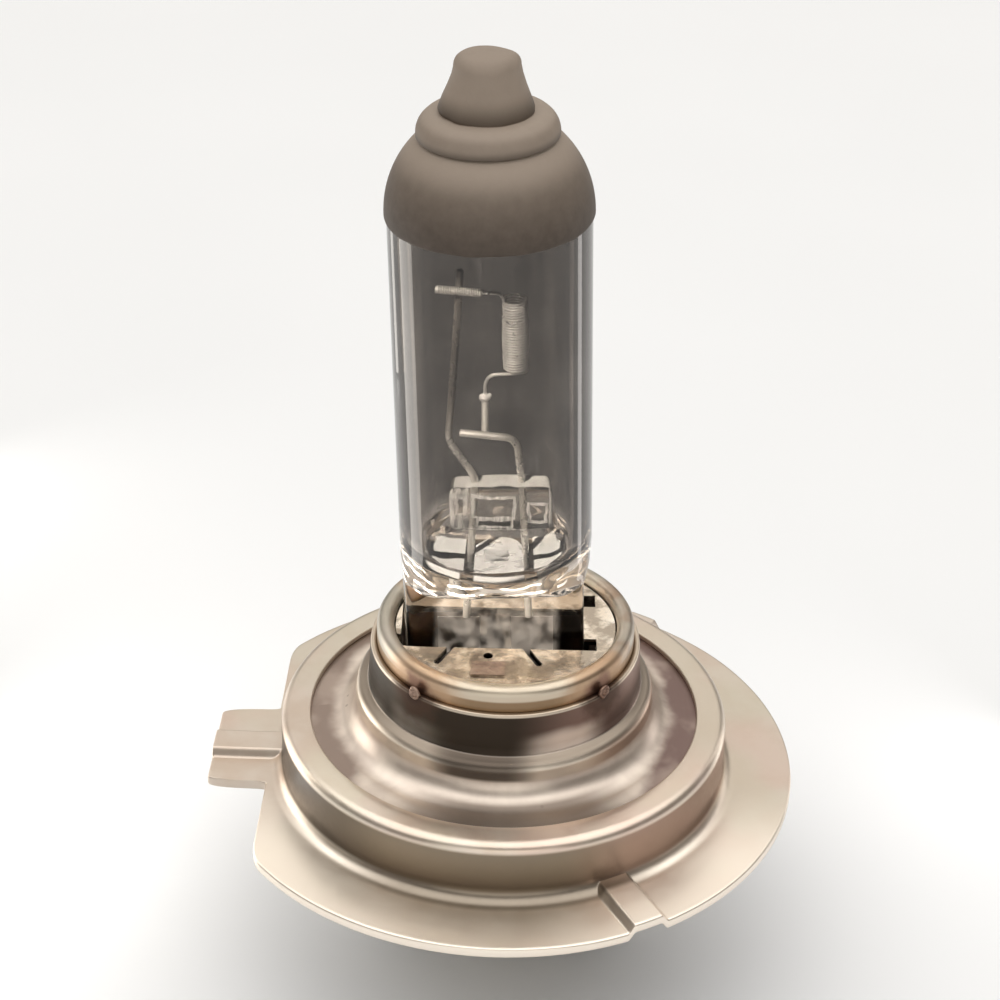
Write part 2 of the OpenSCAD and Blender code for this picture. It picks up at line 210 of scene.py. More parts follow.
PLATE_R, PLATE_TOP, PLATE_BOTTOM = 17.05, -0.5, -1.1
FLAT_X, TAB_X = -13.7, -17.15
TAB_HALF_BACK, TAB_HALF_FRONT = 3.75, 3.35
WALL_R, WALL_TOP, FOOT_FILLET = 13.0, 2.6, 0.8
LIP_TOP, LIP_R = 3.2, 11.28
BOSS_ANGLES = (180.0, -60.0, 60.0)
BOSS_LIFT = 0.5
STEP_Z, SLEEVE_EDGE_Z = 5.43, 7.91
WELD_R, WELD_Z = 7.61, 8.18
WELD_ANGLES = (-130.0, -44.0, 46.0, 136.0)
WELDS = [(WELD_R * math.cos(math.radians(a)), WELD_R * math.sin(math.radians(a)), WELD_Z) for a in WELD_ANGLES]
CLIP_TOP = 8.8
BURNER_X, BURNER_Y, BURNER_LEAN = -0.19, 0.5, math.radians(1.92)
LEAN_COS, LEAN_SIN = 0.9994, 0.0335
BURNER = Matrix.Translation((BURNER_X, BURNER_Y, 0.0)) @ Matrix.Rotation(-BURNER_LEAN, 4, "Y")
TUBE_R = 5.41
HOLLOW_R = 4.36
COAT_T = 0.12
BEAD_Z, BEAD_TOP_Z = 38.8, 40.16
SHOULDER_Z, SHOULDER_ROUND, PINCH_HALF_T = 15.4, 2.5, 1.9
BRIDGE_Z = 17.0


# ---------------------------------------------------------------- materials

class Paint:
    """A material's node tree with short ways to add nodes. Its x, y and z are in millimetres."""

    def __init__(self, name):
        self.mat = bpy.data.materials.new(name)
        self.mat.use_nodes = True
        self.tree = self.mat.node_tree
        self.tree.nodes.clear()
        self.tint = None
        self.out = self.tree.nodes.new("ShaderNodeOutputMaterial")
        self.bsdf = self.tree.nodes.new("ShaderNodeBsdfPrincipled")
        self.tree.links.new(self.bsdf.outputs[0], self.out.inputs["Surface"])
        coord = self.tree.nodes.new("ShaderNodeTexCoord")
        scale = self.tree.nodes.new("ShaderNodeVectorMath")
        scale.operation = "SCALE"
        self.tree.links.new(coord.outputs["Object"], scale.inputs[0])
        scale.inputs["Scale"].default_value = 1 / MM
        self.place = scale.outputs[0]
        split = self.tree.nodes.new("ShaderNodeSeparateXYZ")
        self.tree.links.new(self.place, split.inputs[0])
        self.x, self.y, self.z = split.outputs

    def put(self, socket, value):
        if isinstance(value, bpy.types.NodeSocket):
            self.tree.links.new(value, socket)
        else:
            socket.default_value = value

    def math(self, op, a, b=0.0, clamp=False):
        n = self.tree.nodes.new("ShaderNodeMath")
        n.operation = op
        n.use_clamp = clamp
        self.put(n.inputs[0], a)
        self.put(n.inputs[1], b)
        return n.outputs[0]

    def chain(self, op, values):
        total = values[0]
        for value in values[1:]:
            total = self.math(op, total, value)
        return total

    def plus(self, *values):
        return self.chain("ADD", values)

    def times(self, *values):
        return self.chain("MULTIPLY", values)

    def most(self, *values):
        return self.chain("MAXIMUM", values)

    def least(self, *values):
        return self.chain("MINIMUM", values)

    def minus(self, a, b):
        return self.math("SUBTRACT", a, b)

    def away(self, value, centre):
        """Distance of a value from a centre."""
        return self.math("ABSOLUTE", self.minus(value, centre))

    def ramp(self, value, low_in, high_in, low_out=0.0, high_out=1.0):
        n = self.tree.nodes.new("ShaderNodeMapRange")
        n.interpolation_type = "SMOOTHSTEP"
        for socket, v in zip(n.inputs, (value, low_in, high_in, low_out, high_out)):
            self.put(socket, v)
        return n.outputs[0]

    def until(self, value, low_in, high_in):
        """1 below the first value, 0 above the second."""
        return self.ramp(value, low_in, high_in, 1.0, 0.0)

    def blend(self, factor, a, b):
        n = self.tree.nodes.new("ShaderNodeMix")
        n.data_type = "RGBA"
        self.put(n.inputs["Factor"], factor)
        self.put(n.inputs[6], a if isinstance(a, bpy.types.NodeSocket) else (*a, 1.0))
        self.put(n.inputs[7], b if isinstance(b, bpy.types.NodeSocket) else (*b, 1.0))
        return n.outputs[2]

    def vector(self, x, y, z):
        n = self.tree.nodes.new("ShaderNodeCombineXYZ")
        for socket, value in zip(n.inputs, (x, y, z)):
            self.put(socket, value)
        return n.outputs[0]

    def noise(self, vector, scale, detail=3.0, roughness=0.5, distortion=0.0):
        n = self.tree.nodes.new("ShaderNodeTexNoise")
        self.put(n.inputs["Vector"], vector)
        self.put(n.inputs["Scale"], scale)
        self.put(n.inputs["Detail"], detail)
        self.put(n.inputs["Roughness"], roughness)
        self.put(n.inputs["Distortion"], distortion)
        return n.outputs[0]

    def sway(self, scale, detail, amount):
        """Noise about zero, for borders that should wander."""
        return self.times(self.minus(self.noise(self.place, scale, detail), 0.5), amount)

    def cells(self, vector, scale):
        n = self.tree.nodes.new("ShaderNodeTexVoronoi")
        self.put(n.inputs["Vector"], vector)
        self.put(n.inputs["Scale"], scale)
        return n.outputs["Distance"]

    def bump(self, height, strength, distance):
        n = self.tree.nodes.new("ShaderNodeBump")
        self.put(n.inputs["Height"], height)
        n.inputs["Strength"].default_value = strength
        n.inputs["Distance"].default_value = distance * MM
        self.tree.links.new(n.outputs[0], self.bsdf.inputs["Normal"])

    def radius(self):
        return self.math("SQRT", self.plus(self.times(self.x, self.x), self.times(self.y, self.y)))

    def bearing(self):
        return self.math("ARCTAN2", self.y, self.x)

    def facing(self, slant):
        """1 where the surface lies towards -Y, turned a little by slant, and less to its sides."""
        return self.math("DIVIDE", self.minus(self.times(self.x, slant), self.y), self.radius())

    def cover(self, tint):
        """Sets the colour."""
        self.tint = tint
        self.put(self.bsdf.inputs["Base Color"], tint)

    def lay(self, factor, tint):
        """Lays a tint over the colour so far."""
        self.cover(self.blend(factor, self.tint, tint))


def metal(name, base, light, rough, rough_spread=0.08, speck=0.0, turned=False, grain=0.012, metallic=1.0):
    """Metal with two close tints, uneven roughness, fine grain and a few specks."""
    p = Paint(name)
    around = p.vector(p.radius(), p.z, p.times(p.bearing(), 0.8)) if turned else p.place
    fine = p.noise(around, 5.0 if turned else 3.0, 2.0)
    cloud = p.noise(p.place, 0.33, 4.0, 0.55, 0.3)
    p.cover(p.blend(p.ramp(cloud, 0.3, 0.7), base, light))
    if speck:
        dots = p.until(p.cells(p.place, 0.8), 0.05, 0.11)
        patch = p.ramp(p.noise(p.place, 0.6, 1.0), 0.62, 0.68)
        p.lay(p.times(dots, patch, speck), (0.16, 0.11, 0.08))
    uneven_rough = p.plus(p.times(fine, 0.4), p.times(cloud, 0.6))
    p.put(p.bsdf.inputs["Roughness"], p.ramp(uneven_rough, 0.3, 0.7, rough - rough_spread, rough + rough_spread))
    p.bsdf.inputs["Metallic"].default_value = metallic
    if grain:
        p.bump(p.noise(around, 2.2, 1.0), 0.6, grain)
    return p


def heat(p, spots, colours, reach):
    """Oxide colours in rings round given points, a wider and a narrower one."""
    wobble = p.sway(1.3, 3.0, 1.3)
    for spot in spots:
        n = p.tree.nodes.new("ShaderNodeVectorMath")
        n.operation = "DISTANCE"
        p.tree.links.new(p.place, n.inputs[0])
        n.inputs[1].default_value = spot
        distance = p.plus(n.outputs["Value"], wobble)
        p.lay(p.ramp(distance, reach[0] * 0.45, reach[0], 0.85, 0.0), colours[0])
        p.lay(p.ramp(distance, reach[1] * 0.4, reach[1], 0.9, 0.0), colours[1])


# ---------------------------------------------------------------- metal finishes

def flange_finish():
    """Champagne plate with painted shade to the back, a painted highlight in front, and painted shade and reflection on
    the collar wall.
    """
    p = metal("flange_steel_look", (0.72, 0.60, 0.50), (0.80, 0.71, 0.62), 0.36, 0.04, 0.12, grain=0.006)
    radius = p.radius()
    p.lay(p.ramp(p.noise(p.place, 0.11, 2.0), 0.46, 0.6, 0.0, 0.45), (0.80, 0.62, 0.53))
    p.lay(p.ramp(p.noise(p.vector(p.y, p.x, 5.0), 0.13, 2.0), 0.48, 0.62, 0.0, 0.5), (0.74, 0.70, 0.57))
    # Painted shade: the plate is darkened to the back. Painted highlight: it is lightened in front, outside the wall.
    painted_back_shade = p.blend(0.2, p.tint, (0.0, 0.0, 0.0))
    painted_front_light = p.blend(p.ramp(radius, 13.1, 13.3, 0.0, 0.8), p.tint, (1.0, 0.91, 0.80))
    p.cover(p.blend(p.ramp(p.y, -2.0, -10.0), painted_back_shade, painted_front_light))
    # Painted reflection of the collar wall: the front plate next to the wall is darkened.
    painted_foot_shade = p.times(p.ramp(radius, 14.1, 13.6), p.ramp(p.y, -9.0, -12.5), p.ramp(p.z, 1.6, 1.0))
    p.lay(painted_foot_shade, (0.34, 0.29, 0.235))
    # Painted shade and reflection on the collar wall: darker to the bottom and the left, pinker to the right.
    painted_wall_shade = p.blend(p.ramp(p.z, 0.2, 2.2), (0.17, 0.135, 0.10), (0.26, 0.22, 0.17))
    painted_wall_shade = p.blend(p.ramp(p.x, -6.0, -11.0), painted_wall_shade, (0.15, 0.13, 0.11))
    painted_wall_shade = p.blend(p.ramp(p.x, 3.0, 8.0), painted_wall_shade, (0.38, 0.275, 0.225))
    p.lay(p.times(p.until(radius, 13.02, 13.12), p.until(p.z, 2.5, 2.75)), painted_wall_shade)
    return p


def sleeve_finish():
    """Plum dish with painted radial highlights and painted shade in front, a cream foot that is a painted highlight,
    and dark and light bands up the sleeve that are painted shade and reflection.
    """
    p = metal("sleeve_steel_look", (0.66, 0.57, 0.50), (0.82, 0.73, 0.64), 0.40, 0.04, 0.4, turned=True, grain=0.003)
    radius = p.radius()

    # Painted highlight: the cream foot next to the sleeve is widened to the left, the back and the front.
    highlight_foot_width = p.plus(p.ramp(p.x, 0.0, -7.0, 0.0, 0.2), p.ramp(p.y, 2.0, 7.0, 0.0, 0.5),
                        p.ramp(p.y, -5.0, -8.5, 0.0, 1.5))
    in_dish = p.ramp(p.minus(p.plus(radius, p.sway(0.5, 3.0, 1.2)), highlight_foot_width), 9.2, 10.2)
    dish_tone = p.blend(p.ramp(p.x, 2.0, 8.0), (0.30, 0.235, 0.20), (0.215, 0.150, 0.135))
    # Painted highlight: radial bands of lighter tone across the dish.
    painted_rays = p.noise(p.vector(p.times(p.bearing(), 2.2), p.times(radius, 0.25), 0.0), 1.3, 3.0)
    dish_tone = p.blend(p.ramp(painted_rays, 0.5, 0.66, 0.0, 0.45), dish_tone, (0.52, 0.43, 0.37))
    p.lay(in_dish, dish_tone)
    # Painted shade: the foot and dish are darkened where they face the front.
    p.lay(p.times(p.ramp(radius, 9.05, 9.5), p.ramp(p.facing(0.1), 0.75, 0.97), 0.85), (0.16, 0.125, 0.10))

    # Painted shade and reflection above the step: a dark band, darkest to the left and lighter to the right, with a
    # lighter belt below the welds.
    painted_left_shade = (0.036, 0.030, 0.023)
    painted_upper_band = p.blend(p.ramp(p.x, -6.7, -5.7), painted_left_shade, (0.075, 0.062, 0.048))
    painted_upper_band = p.blend(p.ramp(p.x, -5.4, -3.3), painted_upper_band, (0.042, 0.032, 0.024))
    painted_upper_band = p.blend(p.ramp(p.x, 0.3, 4.8), painted_upper_band, (0.20, 0.128, 0.104))
    painted_belt_band = p.blend(p.ramp(p.x, -5.4, -3.3), (0.19, 0.165, 0.14), (0.095, 0.080, 0.063))
    painted_belt_band = p.blend(p.ramp(p.x, 0.2, 3.4), painted_belt_band, (0.66, 0.55, 0.47))
    painted_belt_band = p.blend(p.ramp(p.x, 4.2, 6.0), painted_belt_band, (0.13, 0.083, 0.067))
    painted_belt_band = p.blend(p.ramp(p.x, -6.6, -5.7), painted_left_shade, painted_belt_band)
    smear = p.sway(0.4, 2.0, 0.5)
    # Painted shade where the sleeve faces the front.
    painted_front_shade = p.ramp(p.plus(p.facing(-0.15), p.times(smear, 0.08)), 0.925, 1.0, 0.0, 0.95)
    belt = p.times(p.until(p.plus(p.z, smear), 6.2, 7.0), p.minus(1.0, painted_front_shade))
    p.lay(p.ramp(p.z, STEP_Z - 0.05, STEP_Z + 0.05), p.blend(belt, painted_upper_band, painted_belt_band))

    # Painted highlight on the shoulder below the step, browner to the right, with painted shade at its top and in
    # front.
    painted_shoulder_band = p.blend(p.ramp(p.x, 4.0, 6.5), (0.80, 0.71, 0.60), (0.50, 0.37, 0.29))
    painted_shoulder_band = p.blend(p.ramp(p.z, 4.95, 5.2), painted_shoulder_band, (0.30, 0.25, 0.20))
    painted_shoulder_band = p.blend(painted_front_shade, painted_shoulder_band, (0.06, 0.043, 0.031))
    on_shoulder = p.times(p.ramp(p.z, 4.1, 4.35), p.until(p.z, STEP_Z - 0.05, STEP_Z + 0.05))
    p.lay(p.times(on_shoulder, 0.9), painted_shoulder_band)
    p.lay(p.ramp(p.z, SLEEVE_EDGE_Z - 0.05, SLEEVE_EDGE_Z + 0.05), (0.62, 0.53, 0.43))
    heat(p, WELDS, ((0.075, 0.045, 0.032), (0.05, 0.03, 0.024)), (2.2, 0.8))
    return p


def cup_finish():
    """Golden rim with a painted highlight in front, browner to the right, over painted shade under the rim and on the
    inner wall.
    """
    p = metal("cup_steel_look", (0.42, 0.39, 0.33), (0.50, 0.46, 0.40), 0.40, 0.05, turned=True, grain=0.004)
    radius = p.radius()
    # Painted highlight: lighter in front.
    p.lay(p.ramp(p.y, -2.5, -6.0), (0.64, 0.56, 0.45))
    p.lay(p.times(p.ramp(p.x, 2.5, 6.0), p.ramp(p.noise(p.place, 0.35, 2.0), 0.4, 0.6), 0.8), (0.30, 0.20, 0.135))
    # Painted shade under the rim.
    p.lay(p.times(p.until(p.z, 8.62, 8.78), p.ramp(radius, 7.1, 7.3)), (0.30, 0.21, 0.13))
    # Painted shade on the inner wall.
    p.lay(p.times(p.until(p.z, 8.2, 8.5), p.until(radius, 7.02, 7.1)), (0.05, 0.04, 0.035))
    heat(p, WELDS[:2] + WELDS[3:], ((0.50, 0.34, 0.22), (0.26, 0.15, 0.11)), (3.4, 1.4))
    return p


def clip_finish():
    """Blotched bright plate, a browner pad and painted shade on the underside."""
    p = metal("clip_steel_look", (0.76, 0.66, 0.54), (0.96, 0.90, 0.80), 0.22, 0.06, 0.2, grain=0.03)
    radius = p.radius()
    p.lay(p.until(p.noise(p.place, 0.55, 4.0, 0.6), 0.42, 0.58), (0.42, 0.36, 0.29))
    p.lay(p.times(p.ramp(p.z, CLIP_TOP + 0.02, CLIP_TOP + 0.06), p.until(radius, 5.6, 5.8)), (0.50, 0.39, 0.33))
    # Painted shade on the underside round the slot.
    p.lay(p.times(p.until(p.z, CLIP_TOP - 0.22, CLIP_TOP - 0.1), p.until(radius, 5.6, 5.9)), (0.03, 0.025, 0.02))
    return p


def support_finish():
    """Grey wire, darker up the long wire, which stands in the shade of the tube's back."""
    p = metal("support_metal_look", (0.64, 0.62, 0.58), (0.78, 0.75, 0.71), 0.30, 0.06, grain=0.004, metallic=0.75)
    p.lay(p.times(p.ramp(p.z, 20.6, 21.6), p.ramp(p.y, 0.45, 0.6), 0.9), (0.22, 0.20, 0.18))
    return p


def insulator_finish():
    """Gritty cream ceramic, with painted shade where it lies inside the cap."""
    p = Paint("insulator_ceramic_look")
    grit = p.noise(p.place, 4.0, 5.0, 0.6)
    p.cover(p.blend(p.ramp(grit, 0.3, 0.7), (0.66, 0.61, 0.53), (0.78, 0.74, 0.66)))
    # Painted shade inside the cap.
    p.lay(p.ramp(p.z, -1.05, -0.9), (0.02, 0.018, 0.016))
    p.bsdf.inputs["Roughness"].default_value = 0.7
    p.bump(grit, 0.5, 0.05)
    return p


def coat_finish():
    """Matt grey-brown coat with painted light: darker at the bottom and lighter to the tip, painted highlights below
    and on the bead, and painted shade in the creases round the bead and at the tip's foot.
    """
    p = Paint("antiglare_look")
    mottle = p.times(p.minus(p.noise(p.place, 1.6, 5.0, 0.6), 0.5), 0.25)
    # Painted light and shade: darker at the bottom, lighter to the tip.
    p.cover(p.blend(p.plus(p.ramp(p.z, 33.9, 41.0), mottle), (0.072, 0.055, 0.043), (0.290, 0.236, 0.190)))
    up = p.minus(p.times(p.z, LEAN_COS), p.times(p.minus(p.x, BURNER_X), LEAN_SIN))
    bead_start, tip_start = BEAD_Z + 0.06, BEAD_TOP_Z + 0.03
    # Painted highlight below the bead.
    p.lay(p.times(p.ramp(up, 37.0, 38.5, 0.0, 0.6), p.until(up, BEAD_Z - 0.02, BEAD_Z + 0.04)), (0.40, 0.33, 0.27))
    # Painted shade in the crease on the bead's lower side.
    p.lay(p.times(p.ramp(up, BEAD_Z, bead_start), p.ramp(up, bead_start, 39.35, 0.65, 0.0)), (0.055, 0.040, 0.028))
    # Painted highlight on the bead's upper side.
    painted_bead_highlight = p.times(p.ramp(up, 39.6, 39.95, 0.0, 0.4), p.until(up, BEAD_TOP_Z - 0.02, BEAD_TOP_Z + 0.02))
    p.lay(painted_bead_highlight, (0.42, 0.35, 0.29))
    # Painted shade at the tip's foot.
    painted_tip_shade = p.times(p.ramp(up, BEAD_TOP_Z - 0.01, tip_start), p.ramp(up, tip_start, 41.5, 0.85, 0.0))
    p.lay(painted_tip_shade, (0.070, 0.052, 0.037))
    p.bsdf.inputs["Roughness"].default_value = 0.62
    p.bsdf.inputs["Specular IOR Level"].default_value = 0.3
    p.bump(p.noise(p.place, 5.0, 4.0, 0.6), 0.35, 0.03)
    return p


flange_paint = flange_finish()
sleeve_paint = sleeve_finish()
cup_paint = cup_finish()
clip_paint = clip_finish()
support_paint = support_finish()
insulator_paint = insulator_finish()
coat_paint = coat_finish()
weld_paint = metal("weld_metal_look", (0.20, 0.12, 0.09), (0.42, 0.31, 0.25), 0.45, 0.08, grain=0.01)
tungsten_paint = metal("tungsten_look", (0.78, 0.76, 0.73), (0.90, 0.88, 0.85), 0.30, 0.05, grain=0.0, metallic=0.75)
leg_paint = metal("leg_metal_look", (0.70, 0.68, 0.65), (0.82, 0.80, 0.76), 0.34, 0.05, grain=0.0, metallic=0.75)
clamp_paint = metal("clamp_metal_look", (0.88, 0.86, 0.83), (0.95, 0.93, 0.90), 0.2, 0.04, grain=0.01, metallic=0.4)
foil_paint = metal("foil_metal_look", (0.26, 0.245, 0.23), (0.36, 0.34, 0.32), 0.4, 0.06, grain=0.01)
shell_paint = metal("shell_steel_look", (0.62, 0.54, 0.46), (0.76, 0.68, 0.60), 0.3, 0.06, 0.5, turned=True,
                    grain=0.006)
blade_paint = metal("blade_metal_look", (0.70, 0.66, 0.56), (0.82, 0.79, 0.70), 0.28, 0.06, 0.4, grain=0.006)


# ---------------------------------------------------------------- quartz

def glass(name, tube_tint, foot_tint, low_z, high_z, shadow, white_marks):
    """Quartz whose tint sets in with height, with white marks, and that lets lamps light what is inside. A dark tube
    tint, as on the envelope, is painted shade for dark surroundings seen through the tube; the white marks are painted
    highlights, with faint press marks on the pinch.
    """
    p = Paint(name)
    streak = p.noise(p.vector(p.x, p.y, p.times(p.z, 0.06)), 0.9, 2.0)
    cloud = p.noise(p.place, 0.22, 3.0, 0.6)
    haze = p.plus(p.times(p.ramp(streak, 0.35, 0.65), 0.03), p.times(p.ramp(cloud, 0.4, 0.7), 0.05))
    p.cover(p.blend(p.ramp(p.z, low_z, high_z), foot_tint, p.blend(haze, tube_tint, foot_tint)))
    p.put(p.bsdf.inputs["Transmission Weight"], p.math("SUBTRACT", 1.0, white_marks(p), clamp=True))
    p.bsdf.inputs["Roughness"].default_value = 0.0
    p.bsdf.inputs["IOR"].default_value = 1.46
    clear = p.tree.nodes.new("ShaderNodeBsdfTransparent")
    clear.inputs["Color"].default_value = (*shadow, 1.0)
    path = p.tree.nodes.new("ShaderNodeLightPath")
    mix = p.tree.nodes.new("ShaderNodeMixShader")
    p.tree.links.new(path.outputs["Is Shadow Ray"], mix.inputs[0])
    p.tree.links.new(p.bsdf.outputs[0], mix.inputs[1])
    p.tree.links.new(clear.outputs[0], mix.inputs[2])
    p.tree.links.new(mix.outputs[0], p.out.inputs["Surface"])
    return p


def pinch_marks_and_highlights(p):
    """Faint press marks on the pinch's faces and painted highlights in white arcs round the shoulder."""
    face = p.times(p.until(p.away(p.x, -0.5), 3.0, 3.7), p.until(p.z, 12.0, 12.5))
    grain = p.ramp(p.noise(p.place, 0.8, 3.0, 0.55), 0.35, 0.65, 0.0, 0.045)
    height = p.plus(p.z, p.sway(0.5, 2.0, 0.9))
    # Painted highlights: white arcs round the shoulder.
    painted_shoulder_arcs = [p.until(p.away(height, level), half * 0.5, half)
             for level, half in ((12.75, 0.07), (13.3, 0.10), (13.95, 0.12), (14.45, 0.08))]
    breaks = p.ramp(p.noise(p.vector(p.x, p.y, p.times(p.z, 0.3)), 1.0, 2.0), 0.44, 0.54)
    return p.plus(p.times(face, grain), p.times(p.most(*painted_shoulder_arcs), breaks, 0.6))


def hollow_highlights(p):
    """Painted highlights: cream patches on the floor of the hollow round the two wires, and a cream band along its
    front lip.
    """
    x, y = p.plus(p.x, 0.62), p.minus(p.y, BURNER_Y)
    wobble = p.sway(0.9, 3.0, 0.5)
    radius = p.plus(p.math("SQRT", p.plus(p.times(x, x), p.times(y, y))), wobble)
    side = p.away(x, 0.15)
    off_seam = p.ramp(p.away(p.plus(y, p.times(wobble, 0.8)), -0.5), 0.26, 0.36)
    outer_patches = p.times(p.ramp(side, 1.9, 2.0), off_seam, p.until(p.away(y, -0.5), 1.9, 2.1))
    arch = p.plus(y, wobble, p.times(side, side, 0.5))
    # Noise that varies the brightness of the painted highlight patches.
    fold = p.ramp(p.noise(p.vector(p.times(x, 0.9), p.times(y, 1.6), p.z), 1.0, 2.0), 0.38, 0.44, 0.25, 1.0)
    spot_x = p.away(p.plus(x, p.times(wobble, 0.5)), 0.0)
    clear_spot = p.times(p.until(spot_x, 0.66, 0.74), p.until(p.away(y, -0.2), 0.62, 0.72))
    inner_patch = p.times(p.until(side, 1.32, 1.4), p.until(arch, 1.75, 1.85), p.ramp(y, -2.75, -2.6), fold,
                          p.minus(1.0, p.times(clear_spot, 0.75)))
    painted_floor_highlights = p.times(p.most(inner_patch, outer_patches), p.until(radius, 3.6, 3.75), p.until(p.z, 14.3, 14.6))
    off_wires = p.times(p.ramp(p.away(x, -1.45), 0.3, 0.42), p.ramp(p.away(x, 1.75), 0.26, 0.38))
    # Painted highlight along the front lip of the hollow, broken where the wires stand.
    painted_lip_highlight = p.times(p.ramp(p.y, -2.0, -2.6), off_wires, p.ramp(p.z, 14.2, 14.35), p.until(p.z, 14.75, 14.9))
    return p.times(p.most(painted_floor_highlights, painted_lip_highlight), 0.95)


def bar_highlights(p):
    """Painted highlights: white rims round clear windows on the front face, a white top and whitish ends."""
    x, z = p.plus(p.x, 0.43), p.minus(p.z, BRIDGE_Z)
    wobble = p.sway(1.1, 2.0, 0.4)

    def window(mid_x, half_x, mid_z, half_z):
        dx = p.minus(p.away(x, mid_x), half_x)
        dz = p.minus(p.away(z, mid_z), half_z)
        return p.plus(p.most(dx, dz), wobble)

    edge = p.least(window(-0.42, 1.02, 0.3, 0.55), window(-0.35, 0.85, -0.72, 0.16),
                   window(2.0, 0.42, 0.0, 0.5), window(-2.2, 0.14, 0.35, 0.45))
    outside = p.ramp(edge, -0.02, 0.03)
    rim = p.times(outside, p.ramp(edge, 0.14, 0.22, 1.0, 0.05))
    border = p.most(p.ramp(p.away(x, 0.0), 2.55, 2.66), p.ramp(z, -1.02, -1.14))
    left_end = p.times(p.ramp(x, -1.75, -1.9), outside, 0.75)
    streaks = p.ramp(p.noise(p.vector(p.times(x, 2.4), p.y, p.times(z, 0.4)), 1.3, 3.0), 0.40, 0.56, 0.35, 1.0)
    front = p.times(p.until(p.y, -0.25, 0.0), p.most(rim, border, left_end), streaks)
    top = p.times(p.ramp(z, 1.18, 1.26), p.ramp(p.plus(p.y, wobble), -0.15, 0.0))
    return p.times(p.most(front, top), 0.95)


# The envelope's dark tube tint is painted shade for dark surroundings seen through the tube.
envelope_glass = glass("quartz_look", (0.045, 0.038, 0.033), (0.70, 0.62, 0.54), 14.3, 15.4,
                       (0.90, 0.89, 0.87), pinch_marks_and_highlights)
hollow_glass = glass("quartz_hollow_look", (0.99, 0.99, 0.985), (0.97, 0.97, 0.96), 11.5, 16.5,
                     (0.98, 0.98, 0.98), hollow_highlights)
bridge_glass = glass("bridge_quartz_look", (0.86, 0.84, 0.81), (0.84, 0.82, 0.79), 14.0, 19.0,
                     (0.95, 0.94, 0.92), bar_highlights)


# ---------------------------------------------------------------- flange

FLANGE_TURN = math.radians(-1.4)
FLAT_STEPS = 22


def plate_edge(angle):
    """Distance from the axis to the plate's outline at an angle in degrees."""
    c, s = math.cos(math.radians(angle)), math.sin(math.radians(angle))
    if c > -0.05:
        return PLATE_R
    body = smooth_min(PLATE_R, FLAT_X / c, 0.7)
    half, corner = (TAB_HALF_BACK, 3.0) if s > 0 else (TAB_HALF_FRONT, 2.0)
    tab = smooth_min(half / max(abs(s), 1e-6), TAB_X / c, corner)
    return smooth_max(body, tab, 0.9)


def boss_height(x, y):
    """Lift of the three pressed bosses above the plate."""
    best = 0.0
    for a in BOSS_ANGLES:
        dx, dy = math.cos(math.radians(a)), math.sin(math.radians(a))
        along, across = x * dx + y * dy, abs(-x * dy + y * dx)
        if along > 0:
            best = max(best, BOSS_LIFT * smooth_step(1.28, 0.78, across) * smooth_step(12.4, 13.0, along))
    return best


def ripple(x, y):
    """Slight waviness of the pressed plate."""
    return 0.05 * noise.noise(Vector((x * 0.16, y * 0.16, 3.1)))


def flange_angles():
    """Angles round the plate in degrees, closer together at the bosses and the tab."""
    out, a = [], -180.0
    while a < 180.0 - 1e-6:
        out.append(a)
        near_boss = min(abs((a - b + 180) % 360 - 180) for b in BOSS_ANGLES)
        step = 1.0
        if near_boss < 7.5:
            step = 0.15
        elif near_boss < 20 and abs(a) > 150:
            step = 0.12
        a += step
    return out


def build_flange():
    """The collar's lip and wall, the plate with its bosses and tab, and the collar's inside."""
    foot_r = WALL_R + FOOT_FILLET
    head = [(LIP_R + 0.05, 2.85), (LIP_R, 2.9), (LIP_R, 3.12), (LIP_R + 0.025, 3.175), (LIP_R + 0.09, LIP_TOP)]
    head += [(11.8, LIP_TOP)]
    head += arc(WALL_R - 0.6, WALL_TOP, 0.6, 90, 0, 10)
    head += [(WALL_R, 1.8), (WALL_R, 1.0), (WALL_R, 0.5)]
    head += arc(foot_r, 0.3, FOOT_FILLET, 180, 270, 12)[:-1]
    tail = [(WALL_R + 0.5, PLATE_BOTTOM)] + arc(WALL_R + 0.5, 0.0, 1.1, 270, 180, 8)[1:]
    tail += [(WALL_R - 0.6, 1.2), (WALL_R - 0.6, 2.85)]
    verts, angles = [], flange_angles()
    for a in angles:
        c, s = math.cos(math.radians(a)), math.sin(math.radians(a))
        edge = plate_edge(a)
        ring = []
        for r, z in head:
            if z < 0.45 and r > WALL_R - 0.01:
                z = max(z, PLATE_TOP + boss_height(r * c, r * s))
            ring.append((r, z))
        flat = [foot_r + (edge - 0.1 - foot_r) * i / FLAT_STEPS for i in range(FLAT_STEPS + 1)]
        for r in flat:
            wave = ripple(r * c, r * s) * smooth_step(foot_r, foot_r + 1.0, r)
            ring.append((r, PLATE_TOP + boss_height(r * c, r * s) + wave))
        lift, wave = boss_height(edge * c, edge * s), ripple(edge * c, edge * s)
        ring += [(edge - 0.03, PLATE_TOP - 0.03 + lift + wave), (edge, PLATE_TOP - 0.12 + lift + wave)]
        ring += [(edge, PLATE_BOTTOM + 0.1 + lift), (edge - 0.03, PLATE_BOTTOM + 0.03 + lift)]
        for r in reversed(flat):
            ring.append((r, PLATE_BOTTOM + boss_height(r * c, r * s) * smooth_step(foot_r, foot_r + 0.6, r)))
        ring += tail
        verts += [(r * c, r * s, z) for r, z in ring]
    return verts, ring_faces(len(angles), len(verts) // len(angles), close_rows=True, inward=True)


add_piece("flange_pressing", build_flange(), flange_paint.mat, "prefocus_flange", sharp=50,
          matrix=Matrix.Rotation(FLANGE_TURN, 4, "Z"))


# ---------------------------------------------------------------- sleeve, cup, welds

TURNED_STEPS = 240

